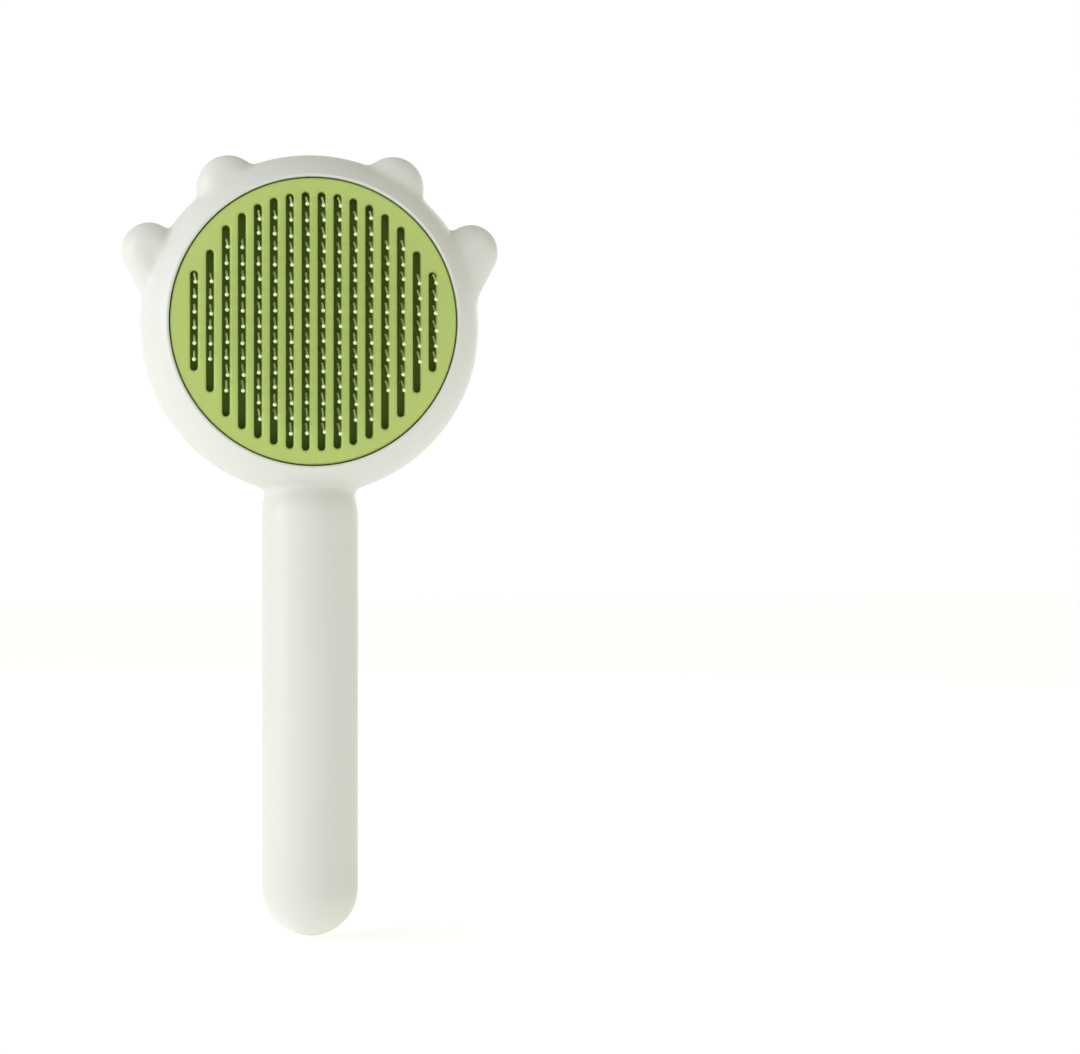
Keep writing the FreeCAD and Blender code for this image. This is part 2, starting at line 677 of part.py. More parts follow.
def return_spring():
    """The coil spring between the backing plate and the pusher, swept along a smooth curve."""
    low_y = BACKING_BACK_Y + SPRING_WIRE_RADIUS
    rise = PUSHER_FRONT_Y - SPRING_WIRE_RADIUS - low_y
    points = []
    for step in range(SPRING_STEPS + 1):
        share = step / SPRING_STEPS
        x, z = polar(SPRING_COIL_RADIUS, 360 * SPRING_TURNS * share)
        points.append(Vector(x, low_y + rise * share, HEAD_Z + z))
    curve = Part.BSplineCurve()
    curve.interpolate(points)
    direction = curve.tangent(curve.FirstParameter)[0]
    section = Part.Wire(Part.makeCircle(SPRING_WIRE_RADIUS, points[0], direction))
    return Part.Wire(curve.toShape()).makePipeShell([section], True, True)


def main():
    os.makedirs("parts", exist_ok=True)
    outside = body_solid(0, BUTTON_HOLE_RADIUS, CREST_Y)
    cavity = body_solid(WALL, STOP_COLLAR_RADIUS, STOP_Y)
    tongue_outside = body_solid(TONGUE_INSET, STOP_COLLAR_RADIUS, STOP_Y)
    rebate = body_solid(TONGUE_INSET - TONGUE_GAP, STOP_COLLAR_RADIUS, STOP_Y)
    save("front_shell", front_shell(outside, cavity, rebate))
    save("rear_shell", rear_shell(outside, cavity, tongue_outside))
    save("ejector_plate", ejector_plate())
    save("needle_base", needle_base())
    save("staple_backing_plate", staple_backing_plate())
    save("pusher", pusher())
    save("button", button())
    base_screws = [screw(BASE_BACK_Y, x, z) for x, z in base_screw_places()]
    save("needle_base_screws", Part.makeCompound(base_screws))
    pusher_screws = [screw(PUSHER_BACK_Y, x, z) for x, z in post_places()]
    save("pusher_screws", Part.makeCompound(pusher_screws))
    save("return_spring", return_spring())
    needle_parts()


main()
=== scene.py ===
"""The looks of a self-cleaning slicker brush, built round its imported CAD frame.

The two white shells are one smooth closed surface, worked out from a distance field and split along the
parting line. The needles, their resin tips, the button and the spring are new meshes too. The slotted
plate and the hidden carriers keep their CAD shapes and get full materials. Shapes are worked out in
millimetres, with +Z from the handle to the head and -Y the needle side, and become metres in new_piece().
"""

import math
import random

import bmesh
import bpy
import numpy as np
from mathutils import Matrix, Vector


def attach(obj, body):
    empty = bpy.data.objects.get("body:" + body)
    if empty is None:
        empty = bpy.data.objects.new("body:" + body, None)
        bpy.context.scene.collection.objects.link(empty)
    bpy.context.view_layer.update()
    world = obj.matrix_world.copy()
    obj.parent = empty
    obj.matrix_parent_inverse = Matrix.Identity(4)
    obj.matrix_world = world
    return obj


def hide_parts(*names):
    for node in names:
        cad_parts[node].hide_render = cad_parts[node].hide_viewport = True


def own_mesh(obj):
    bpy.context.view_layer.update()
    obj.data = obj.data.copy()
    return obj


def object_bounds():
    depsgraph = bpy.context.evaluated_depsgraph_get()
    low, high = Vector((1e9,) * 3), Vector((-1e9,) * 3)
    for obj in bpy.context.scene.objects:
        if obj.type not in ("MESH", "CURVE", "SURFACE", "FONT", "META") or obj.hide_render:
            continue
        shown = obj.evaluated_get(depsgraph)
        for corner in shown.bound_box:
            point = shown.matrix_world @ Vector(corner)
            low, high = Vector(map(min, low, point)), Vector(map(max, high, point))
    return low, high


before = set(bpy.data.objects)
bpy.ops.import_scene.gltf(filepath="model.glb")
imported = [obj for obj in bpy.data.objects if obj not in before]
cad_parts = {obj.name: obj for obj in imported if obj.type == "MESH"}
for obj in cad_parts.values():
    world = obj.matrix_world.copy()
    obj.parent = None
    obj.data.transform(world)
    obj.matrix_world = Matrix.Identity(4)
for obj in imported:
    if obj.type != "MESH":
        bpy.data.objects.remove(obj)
cad_low, cad_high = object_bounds()

MM = 0.001
WHITE = (1.0, 1.0, 1.0)

# Handle and head, as in the CAD.
HANDLE_RADIUS = 12.3
GRIP_END = 47.5
NECK_SIDE_CURVE_RADIUS = 19.0
NECK_FRONT_CURVE_RADIUS = 10.0
NECK_HEIGHT = 8.5
NECK_TOP = 62.0
HEAD_Z = 96.3
HEAD_RADIUS = 43.4
FRONT_DOME_DEPTH = 19.15
CREST_RADIUS = 24.0
CREST_Y = 16.0
DISH_CURVE_RADIUS = 9.0
WALL = 2.2

# Lobes: angle from +X, reach from the head's centre, radius, and the length of the straight tail.
LOBES = [(59.0, 40.8, 8.0, 0.0), (24.5, 45.2, 7.0, 17.5)]
SIDE_TAIL_ANGLE = 9.3
LOBE_HALF_THICKNESS = 8.0
LOBE_EDGE_RADIUS = 5.5
LOBE_BLEND = 1.6
NECK_BLEND = 2.6

# Openings in the shells.
OPENING_RADIUS = 36.3
COLLAR_RADIUS = 38.0
COLLAR_TOP_Y = -9.0
COLLAR_END_Y = -4.4
OPENING_EDGE_RADIUS = 0.5
FACE_RING_RADIUS = 37.1
BUTTON_HOLE_RADIUS = 16.75
STOP_COLLAR_RADIUS = 18.4
STOP_Y = 9.3
DISH_RING_RADIUS = 17.5
DISH_EDGE_DEPTH = 0.9

# Mesh density of the shells.
COLUMNS = 480
ROW_STEP = 0.55
TUBE_STEP = 1.0
END_RINGS = 22
NECK_RINGS = 18
NECK_RING_Z = 50.0
NECK_WINDOW_X = 14.8
NECK_WINDOW_FRONT_Y = -10.9
NECK_WINDOW_BACK_Y = 12.2
RELAX_ROUNDS = 60
RELAX_SHARE = 0.5
LAST_ROUNDS = 3
DOME_STEPS = 400
DISH_STEPS = 100
OPENING_EDGE_STEPS = 10
DISH_EDGE_STEPS = 8
OPENING_BAND_Y = -11.0
COLLAR_GAP = 0.05
STOP_COLLAR_GAP = 0.3
SHARP_DEGREES = 40

# How the head's rows are cast out onto the body: from a core ring, starting well outside it.
CAST_CORE_RADIUS = 38.0
CAST_START = 26.0
CAST_ROUNDS = 60
CAST_SHARE = 0.8
SLOPE_STEP = 0.02
LEAST_SLOPE = 1e-6
TINY = 1e-9

# The parting line: how far each shell's edge is set back, and how deep its rounding goes.
LIP = [(0.22, 0.0), (0.085, 0.045), (0.03, 0.15)]


def dome_profile(tall, last_radius):
    """A dome's outline in the (radius, y) plane, from the head's rim at y = 0 in to a radius."""
    wide = HEAD_RADIUS - CREST_RADIUS
    turn = np.linspace(0, math.acos((last_radius - CREST_RADIUS) / wide), DOME_STEPS)
    return np.column_stack((CREST_RADIUS + wide * np.cos(turn), tall * np.sin(turn)))


def resample(points, step):
    """The same line with evenly spaced points, about one step apart."""
    lengths = np.hypot(*np.diff(points, axis=0).T)
    along = np.concatenate(([0], np.cumsum(lengths)))
    count = max(2, round(along[-1] / step) + 1)
    places = np.linspace(0, along[-1], count)
    return np.column_stack([np.interp(places, along, points[:, k]) for k in range(2)])


def dish_y(radius):
    """The height of the dish round the button, at a radius inside the crest."""
    return CREST_Y - DISH_CURVE_RADIUS + np.sqrt(DISH_CURVE_RADIUS**2 - (CREST_RADIUS - radius) ** 2)


def column_angles():
    """The angle of each of the net's columns, counted from the handle's side."""
    return -math.pi / 2 + 2 * math.pi / COLUMNS * np.arange(COLUMNS)


def head_ring(radius, y):
    """One round row of points about the head's axis."""
    angles = column_angles()
    return np.column_stack((
        radius * np.cos(angles), np.full(COLUMNS, y), HEAD_Z + radius * np.sin(angles)
    ))


def bridge(one, other):
    """The quads between two closed loops of point numbers."""
    quads = zip(one, one[1:] + one[:1], other[1:] + other[:1], other)
    return [list(quad) for quad in quads]


def sleeve(points, sides, first=0):
    """The points' numbers in rows of that many, and the quads that join each row to the next."""
    rows = [list(range(low, low + sides)) for low in range(first, len(points), sides)]
    quads = [quad for row, after in zip(rows, rows[1:]) for quad in bridge(row, after)]
    return rows, quads


def round_row(place, side, other, radius, sides):
    """Points on a circle that lies along two directions."""
    angles = [2 * math.pi * corner / sides for corner in range(sides)]
    return [place + (side * math.cos(angle) + other * math.sin(angle)) * radius for angle in angles]


# --- The body as a distance field: negative inside, zero on the surface ---


def dome_distance(radius, y, tall):
    """About how far a point is outside the ellipse that a dome's outline follows."""
    wide = HEAD_RADIUS - CREST_RADIUS
    across = (radius - CREST_RADIUS) / wide
    up = y / tall
    share = np.maximum(np.hypot(across, up), TINY)
    slope = np.hypot(across / share / wide, up / share / tall)
    return (share - 1) / np.maximum(slope, TINY)


def head_distance(x, y, z):
    """The bun: a sloping ring in front, a dome behind and a dish round the button."""
    radius = np.hypot(x, z)
    beyond_crest = radius > CREST_RADIUS
    front = np.where(beyond_crest, dome_distance(radius, y, FRONT_DOME_DEPTH), -FRONT_DOME_DEPTH - y)
    dish = np.hypot(radius - CREST_RADIUS, y - CREST_Y + DISH_CURVE_RADIUS) - DISH_CURVE_RADIUS
    back = np.where(beyond_crest, dome_distance(radius, y, CREST_Y), dish)
    return np.where(y < 0, front, back)


def lobe_distance(x, y, z, lobe):
    """One pebble with rounded edges. A side lobe's pebble is drawn out towards the head."""
    degrees, reach, radius, tail = lobe
    angle = math.radians(degrees)
    centre = (reach * math.cos(angle), reach * math.sin(angle))
    away_x = x - centre[0]
    away_z = z - centre[1]
    if tail:
        tail_x, tail_z = tail_direction(centre, radius)
        along = np.clip(away_x * tail_x + away_z * tail_z, 0, tail)
        away_x = away_x - along * tail_x
        away_z = away_z - along * tail_z
    out = np.hypot(away_x, away_z) - (radius - LOBE_EDGE_RADIUS)
    up = np.abs(y) - (LOBE_HALF_THICKNESS - LOBE_EDGE_RADIUS)
    outside = np.hypot(np.maximum(out, 0), np.maximum(up, 0))
    return outside + np.minimum(np.maximum(out, up), 0) - LOBE_EDGE_RADIUS


def tail_direction(centre, radius):
    """The way a side lobe's tail runs, so that its lower side meets the head at the tail's angle."""
    angle = math.radians(SIDE_TAIL_ANGLE)
    gap_x = HEAD_RADIUS * math.cos(angle) - centre[0]
    gap_z = HEAD_RADIUS * math.sin(angle) - centre[1]
    distance = math.hypot(gap_x, gap_z)
    heading = math.atan2(gap_z, gap_x) - math.asin(radius / distance)
    return math.cos(heading), math.sin(heading)


def handle_distance(x, y, z):
    """The round handle, its domed end and its oval neck below the head. z counts from the origin."""
    rise = np.clip(z - GRIP_END, 0, NECK_HEIGHT)
    wide = HANDLE_RADIUS - NECK_SIDE_CURVE_RADIUS + np.sqrt(NECK_SIDE_CURVE_RADIUS**2 - rise**2)
    deep = HANDLE_RADIUS - NECK_FRONT_CURVE_RADIUS + np.sqrt(NECK_FRONT_CURVE_RADIUS**2 - rise**2)
    below = np.minimum(z + GRIP_END, 0)
    out = np.sqrt((x / wide) ** 2 + (y / deep) ** 2 + (below / HANDLE_RADIUS) ** 2)
    return np.maximum((out - 1) * deep, z - NECK_TOP)


def blend(first, second, width):
    """The smaller of two distances, with the crease between them rounded."""
    closeness = np.maximum(width - np.abs(first - second), 0) / width
    return np.minimum(first, second) - closeness**2 * width / 4


def body_distance(points):
    """How far each point is outside the whole body."""
    x = np.abs(points[:, 0])
    y = points[:, 1]
    z = points[:, 2]
    distance = head_distance(x, y, z - HEAD_Z)
    for lobe in LOBES:
        distance = blend(distance, lobe_distance(x, y, z - HEAD_Z, lobe), LOBE_BLEND)
    return blend(distance, handle_distance(x, y, z), NECK_BLEND)


def slope_at(points):
    """The distance at each point, and the direction in which it grows fastest."""
    here = body_distance(points)
    slope = np.empty_like(points)
    for axis in range(3):
        offset = np.zeros(3)
        offset[axis] = SLOPE_STEP
        change = body_distance(points + offset) - body_distance(points - offset)
        slope[:, axis] = change / (2 * SLOPE_STEP)
    return here, slope


def onto_body(points, rounds):
    """Each point moved along the slope until it lies on the surface."""
    for _ in range(rounds):
        here, slope = slope_at(points)
        points = points - slope * (here / np.maximum((slope**2).sum(1), LEAST_SLOPE))[:, None]
    return points


# --- The skin: one closed net of quads over the head, the neck and the handle ---


def head_rows():
    """The head's profile as rows of (radius, y), and the number of the row at the parting line."""
    front = dome_profile(-FRONT_DOME_DEPTH, FACE_RING_RADIUS)[::-1]
    dome = dome_profile(CREST_Y, CREST_RADIUS)
    dish_radii = np.linspace(CREST_RADIUS, DISH_RING_RADIUS, DISH_STEPS)[1:]
    back = np.vstack((dome, np.column_stack((dish_radii, dish_y(dish_radii)))))
    front = resample(front, ROW_STEP)
    back = resample(back, ROW_STEP)
    return np.vstack((front, back[1:])), len(front) - 1


def outermost(rows):
    """The head's net, cast outwards from a ring inside the rim so that it covers the lobes."""
    angles = column_angles()
    start = head_ring(CAST_CORE_RADIUS, 0)
    net = []
    for radius, y in rows:
        reach = math.hypot(radius - CAST_CORE_RADIUS, y)
        flat = (radius - CAST_CORE_RADIUS) / reach
        way = np.column_stack((flat * np.cos(angles), np.full(COLUMNS, y / reach), flat * np.sin(angles)))
        far = np.full(COLUMNS, CAST_START)
        for _ in range(CAST_ROUNDS):
            far = far - CAST_SHARE * body_distance(start + way * far[:, None])
        net.append(start + way * far[:, None])
    return np.stack(net)


class Skin:
    """The net's points, its faces before and behind the parting line, and the points on that line."""

    def __init__(self):
        rows, self.parting_row = head_rows()
        self.row_count = len(rows)
        net = outermost(rows)
        for row in (0, self.row_count - 1):
            net[row] = head_ring(*rows[row])
        self.points = list(net.reshape(-1, 3))
        self.front = []
        self.back = []
        self.cut_first = max(row for row in range(self.parting_row) if rows[row][1] < NECK_WINDOW_FRONT_Y)
        behind = range(self.parting_row, self.row_count)
        self.cut_last = min(row for row in behind if rows[row][1] > NECK_WINDOW_BACK_Y)
        half_window = math.ceil(math.asin(NECK_WINDOW_X / HEAD_RADIUS) / (2 * math.pi / COLUMNS))
        self.add_head_faces(half_window)
        self.add_handle(half_window)
        self.points = np.array(self.points)
        self.settle()

    def at(self, row, column):
        """The number of the point in this row and column of the head."""
        return row * COLUMNS + column % COLUMNS

    def add_head_faces(self, half_window):
        """The head's faces, apart from those in the window where the neck leaves."""
        for row in range(self.row_count - 1):
            for column in range(COLUMNS):
                near = min(column, COLUMNS - 1 - column)
                if near < half_window and self.cut_first <= row < self.cut_last:
                    continue
                faces = self.front if row < self.parting_row else self.back
                faces.append([
                    self.at(row, column), self.at(row, column + 1),
                    self.at(row + 1, column + 1), self.at(row + 1, column),
                ])

    def window_loops(self, half):
        """The hole's edge from its right side to its left, once past the front and once past the back."""
        loops = []
        for row, way in ((self.cut_first, -1), (self.cut_last, 1)):
            right = [self.at(each, half) for each in range(self.parting_row, row, way)]
            across = [self.at(row, column) for column in range(half, -half - 1, -1)]
            left = [self.at(each, -half) for each in range(row - way, self.parting_row - way, -way)]
            loops.append(right + across + left)
        return loops

    def handle_rings(self, loop, front_count):
        """Rings of points from the hole in the head down the neck and the handle and round its end."""
        turn = np.concatenate((
            np.linspace(0, -math.pi, front_count + 1)[:-1],
            np.linspace(-math.pi, -2 * math.pi, len(loop) - front_count + 1)[:-1],
        ))
        around = np.column_stack((np.cos(turn), np.sin(turn), np.zeros(len(turn))))
        top = np.array([self.points[index] for index in loop])
        neck = around * HANDLE_RADIUS
        neck[:, 2] = NECK_RING_Z
        rings = [top + (neck - top) * share for share in np.linspace(0, 1, NECK_RINGS + 1)[1:]]
        count = round((NECK_RING_Z + GRIP_END) / TUBE_STEP)
        for z in np.linspace(NECK_RING_Z, -GRIP_END, count + 1)[1:]:
            rings.append(around * HANDLE_RADIUS + np.array([0, 0, z]))
        for bend in np.linspace(0, math.pi / 2, END_RINGS + 1)[1:-1]:
            sink = np.array([0, 0, -GRIP_END - HANDLE_RADIUS * math.sin(bend)])
            rings.append(around * HANDLE_RADIUS * math.cos(bend) + sink)
        return rings

    def add_handle(self, half_window):
        """The neck and the handle, closed at a pole, and the whole parting line."""
        front_loop, back_loop = self.window_loops(half_window)
        loop = front_loop + back_loop[-2:0:-1]
        front_count = len(front_loop) - 1
        right_edge = []
        left_edge = []
        last = loop
        for ring in self.handle_rings(loop, front_count):
            first = len(self.points)
            self.points.extend(ring)
            new = list(range(first, first + len(ring)))
            quads = bridge(last, new)
            self.front.extend(quads[:front_count])
            self.back.extend(quads[front_count:])
            right_edge.append(new[0])
            left_edge.append(new[front_count])
            last = new
        self.pole = len(self.points)
        self.points.append(np.array([0, 0, -GRIP_END - HANDLE_RADIUS]))
        end = [[near, far, self.pole] for near, far in zip(last, last[1:] + last[:1])]
        self.front.extend(end[:front_count])
        self.back.extend(end[front_count:])
        rim_columns = range(half_window, COLUMNS - half_window + 1)
        rim = [self.at(self.parting_row, column) for column in rim_columns]
        self.parting = [self.pole] + right_edge[::-1] + rim + left_edge

    def settle(self):
        """Evens out the net and lays it on the body, with its two openings and its parting line held."""
        used = np.zeros(len(self.points), bool)
        pairs = set()
        for face in self.front + self.back:
            for near, far in zip(face, face[1:] + face[:1]):
                pairs.add((min(near, far), max(near, far)))
                used[near] = True
        pairs = np.array(sorted(pairs))
        count = len(self.points)
        ends = np.concatenate((pairs[:, 0], pairs[:, 1]))
        others = np.concatenate((pairs[:, 1], pairs[:, 0]))
        share = np.maximum(np.bincount(ends, minlength=count), 1)
        free = used.copy()
        free[:COLUMNS] = False
        free[(self.row_count - 1) * COLUMNS:self.row_count * COLUMNS] = False
        free[self.pole] = False
        flat = np.array(self.parting)
        for _ in range(RELAX_ROUNDS):
            sums = [np.bincount(ends, self.points[others, axis], count) for axis in range(3)]
            middle = np.column_stack(sums) / share[:, None]
            self.points[free] += RELAX_SHARE * (middle[free] - self.points[free])
            self.points[flat, 1] = 0
            self.points[free] = onto_body(self.points[free], 1)
            self.points[flat, 1] = 0
        self.points[free] = onto_body(self.points[free], LAST_ROUNDS)
        self.points[flat, 1] = 0
        slope = slope_at(self.points)[1]
        self.out = slope / np.maximum(np.linalg.norm(slope, axis=1), TINY)[:, None]


def inner_faces(skin, faces, inner_row, side):
    """The faces that the inner skin follows: all but those between inner_row and the opening."""
    head_points = skin.row_count * COLUMNS
    kept = []
    for face in faces:
        rows = [index // COLUMNS for index in face if index < head_points]
        if all((row - inner_row) * side <= 0 for row in rows):
            kept.append(face)
    return kept


def shell_mesh(skin, faces, edge_rows, opening_row, inner_row, side):
    """One closed shell: its skin, an inner skin a wall away, the parting lip and the rounded opening.

    edge_rows is the opening's profile as (radius, y), from opening_row of the skin round to inner_row.
    side is -1 for the front shell and 1 for the back one.
    """
    outer_ids = sorted({index for face in faces for index in face})
    points = {index: skin.points[index].copy() for index in outer_ids}
    for index in skin.parting:
        points[index][1] = side * LIP[0][0]
    coordinates = [points[index] for index in outer_ids]
    outer = {index: place for place, index in enumerate(outer_ids)}
    quads = [[outer[index] for index in face] for face in faces]

    def add_ring(new_points):
        first = len(coordinates)
        coordinates.extend(new_points)
        return list(range(first, first + len(new_points)))

    inside = inner_faces(skin, faces, inner_row, side)
    inner_ids = sorted({index for face in inside for index in face})
    inner_places = add_ring([skin.points[index] - WALL * skin.out[index] for index in inner_ids])
    inner = dict(zip(inner_ids, inner_places))
    quads.extend([inner[index] for index in face[::-1]] for face in inside)

    # The parting lip goes inwards, level with the parting line.
    parting = np.array(skin.parting)
    level = skin.out[parting] * np.array([1, 0, 1])
    last = [outer[index] for index in skin.parting]
    for back, deep in LIP[1:]:
        lip = skin.points[parting] - deep * level
        lip[:, 1] = side * back
        ring = add_ring(list(lip))
        quads.extend(bridge(last, ring))
        last = ring
    for index in skin.parting:
        coordinates[inner[index]][1] = side * LIP[-1][0]
    quads.extend(bridge(last, [inner[index] for index in skin.parting]))

    # The opening goes round from the skin's last row to the inner skin's.
    last = [outer[skin.at(opening_row, column)] for column in range(COLUMNS)]
    for radius, y in edge_rows:
        ring = add_ring(list(head_ring(radius, y)))
        quads.extend(bridge(last, ring))
        last = ring
    quads.extend(bridge(last, [inner[skin.at(inner_row, column)] for column in range(COLUMNS)]))
    return coordinates, quads


def new_piece(name, points, faces, body, slot, material):
    """A mesh object from points in millimetres, closed, facing outwards and smooth-shaded."""
    mesh = bpy.data.meshes.new(name)
    mesh.from_pydata([tuple(float(value) * MM for value in point) for point in points], [], faces)
    net = bmesh.new()
    net.from_mesh(mesh)
    bmesh.ops.recalc_face_normals(net, faces=net.faces)
    net.to_mesh(mesh)
    net.free()
    mesh.polygons.foreach_set("use_smooth", [True] * len(mesh.polygons))
    mesh.set_sharp_from_angle(angle=math.radians(SHARP_DEGREES))
    mesh.materials.append(material)
    piece = bpy.data.objects.new(name, mesh)
    bpy.context.scene.collection.objects.link(piece)
    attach(piece, body)
    return piece


def inner_start(skin, limit, rows):
    """The first of these rows whose inner skin clears a collar of that radius."""
    for row in rows:
        index = skin.at(row, COLUMNS // 2)
        place = skin.points[index] - WALL * skin.out[index]
        if math.hypot(place[0], place[2] - HEAD_Z) > limit:
            return row
    return rows[-1]


def front_opening():
    """The ring opening's profile as (radius, y): its rounded edge, then the collar round the plate."""
    outline = dome_profile(-FRONT_DOME_DEPTH, FACE_RING_RADIUS)
    slope = math.atan2(outline[-2][1] - outline[-1][1], outline[-2][0] - outline[-1][0])
    centre_y = outline[-1][1] + OPENING_EDGE_RADIUS * math.cos(slope)
    turn = np.linspace(math.pi / 2 - slope, math.pi, OPENING_EDGE_STEPS)[1:]
    round_x = OPENING_RADIUS + OPENING_EDGE_RADIUS * (1 + np.cos(turn))
    round_y = centre_y - OPENING_EDGE_RADIUS * np.sin(turn)
    return list(zip(round_x, round_y)) + [
        (OPENING_RADIUS, OPENING_BAND_Y),
        (OPENING_RADIUS, COLLAR_END_Y),
        (COLLAR_RADIUS, COLLAR_END_Y),
        (COLLAR_RADIUS, COLLAR_TOP_Y),
    ]


def back_opening():
    """The button hole's profile as (radius, y): the dish rolling over its edge, then the stop collar."""
    edge_y = dish_y(BUTTON_HOLE_RADIUS)
    start = np.array([DISH_RING_RADIUS, dish_y(DISH_RING_RADIUS)])
    corner = np.array([BUTTON_HOLE_RADIUS, edge_y])
    end = np.array([BUTTON_HOLE_RADIUS, edge_y - DISH_EDGE_DEPTH])
    profile = []
    for share in np.linspace(0, 1, DISH_EDGE_STEPS)[1:]:
        place = start * (1 - share) ** 2 + corner * 2 * share * (1 - share) + end * share**2
        profile.append(tuple(place))
    return profile + [(BUTTON_HOLE_RADIUS, STOP_Y), (STOP_COLLAR_RADIUS, STOP_Y)]


def build_shells(material):
    """Both white shells."""
    skin = Skin()
    front_row = inner_start(skin, COLLAR_RADIUS + COLLAR_GAP, range(skin.cut_first + 1))
    points, faces = shell_mesh(skin, skin.front, front_opening(), 0, front_row, -1)
    front = new_piece("shell_front", points, faces, "housing", "shell_plastic", material)
    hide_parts("front_shell")

    last_row = skin.row_count - 1
    back_rows = range(last_row, skin.parting_row, -1)
    back_row = inner_start(skin, STOP_COLLAR_RADIUS + STOP_COLLAR_GAP, back_rows)
    points, faces = shell_mesh(skin, skin.back, back_opening(), last_row, back_row, 1)
    back = new_piece("shell_rear", points, faces, "housing", "shell_plastic", material)
    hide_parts("rear_shell")


# --- Needles ---

STAPLE_ROWS = [6, 10, 14, 16, 16, 14, 10, 6]
ROW_PITCHES = [3.87, 3.92, 3.82, 3.77, 3.77, 3.82, 3.92, 3.87]
COLUMN_DROPS = [0.6, 0.0, 0.0, 0.0, 0.0, 0.0, 0.0, 0.6]
SLOT_PITCH = 4.0
WIRE_RADIUS = 0.225
WIRE_SIDES = 8
CROWN_Y = -7.85
KNEE_Y = -15.0
KNEE_BEND_RADIUS = 1.2
CROWN_BEND_RADIUS = 0.35
TIP_Y = -20.8
TIP_DROP = 2.6
BALL_RADIUS = 0.5
BALL_SIDES = 20
BALL_DEGREES = range(12, 139, 14)
BEND_STEPS = 6
TIP_SWAY = 0.22
TIP_STRAY = 0.3
TIP_SHORT = 0.2
NEEDLE_SEED = 146

# The bead's neck, as its radius and how far up the wire it is.
BEAD_NECK = [(0.3, 0.5), (0.25, 0.68), (WIRE_RADIUS, 0.85)]


def staples():
    """Each staple's column, its height there, and where its two slightly uneven tips end."""
    chance = random.Random(NEEDLE_SEED)
    found = []
    for column, (rows, pitch, drop) in enumerate(zip(STAPLE_ROWS, ROW_PITCHES, COLUMN_DROPS), start=1):
        x = (column - (len(STAPLE_ROWS) + 1) / 2) * 2 * SLOT_PITCH
        for row in range(rows):
            z = HEAD_Z + (row - (rows - 1) / 2) * pitch - drop
            tips = []
            for leg in (-SLOT_PITCH / 2, SLOT_PITCH / 2):
                tip = Vector((
                    x + leg + chance.uniform(-TIP_SWAY, TIP_SWAY),
                    TIP_Y + chance.uniform(0, TIP_SHORT),
                    z + chance.uniform(-TIP_STRAY, TIP_STRAY),
                ))
                # The field's corners are the outer legs of a column's first and last staples.
                border = row in (0, rows - 1) and leg * x > 0
                tips.append((tip, border))
            found.append({"column": column, "x": x, "z": z + TIP_DROP, "tips": tips})
    return found


def rounded_path(points, radii):
    """A line through the points with each inner corner rounded to its radius."""
    path = [points[0]]
    for index, radius in enumerate(radii, start=1):
        into = (points[index] - points[index - 1]).normalized()
        out = (points[index + 1] - points[index]).normalized()
        half_turn = into.angle(out) / 2
        cut = radius * math.tan(half_turn)
        start = points[index] - into * cut
        centre = points[index] + (out - into).normalized() * (radius / math.cos(half_turn))
        spoke = start - centre
        axis = into.cross(out).normalized()
        for step in range(BEND_STEPS + 1):
            path.append(centre + Matrix.Rotation(2 * half_turn * step / BEND_STEPS, 3, axis) @ spoke)
    path.append(points[-1])
    return path


def tube(path, radius, sides):
    """Points and faces of a closed round tube along a path."""
    points = []
    way = (path[1] - path[0]).normalized()
    side = way.orthogonal().normalized()
    for index, place in enumerate(path):
        before = path[max(index - 1, 0)]
        after = path[min(index + 1, len(path) - 1)]
        way = (after - before).normalized()
        side = (side - way * side.dot(way)).normalized()
        points.extend(round_row(place, side, way.cross(side), radius, sides))
    rows, quads = sleeve(points, sides)
    return points, quads + [rows[0][::-1], rows[-1]]


def bead(tip, way):
    """A resin bead: a ball that runs up the wire in a short neck."""
    profile = []
    for degrees in BALL_DEGREES:
        angle = math.radians(degrees)
        profile.append((BALL_RADIUS * math.sin(angle), -BALL_RADIUS * math.cos(angle)))
    profile += BEAD_NECK
    side = way.orthogonal().normalized()
    points = [tip - way * BALL_RADIUS]
    for out, along in profile:
        points.extend(round_row(tip + way * along, side, way.cross(side), out, BALL_SIDES))
    rows, quads = sleeve(points, BALL_SIDES, first=1)
    nose = [[0, near, far] for near, far in zip(rows[0], rows[0][1:] + rows[0][:1])]
    return points, nose + quads + [rows[-1]]


def join(parts):
    """Several lots of points and faces as one."""
    points = []
    faces = []
    for more_points, more_faces in parts:
        first = len(points)
        points.extend(more_points)
        faces.extend([index + first for index in face] for face in more_faces)
    return points, faces


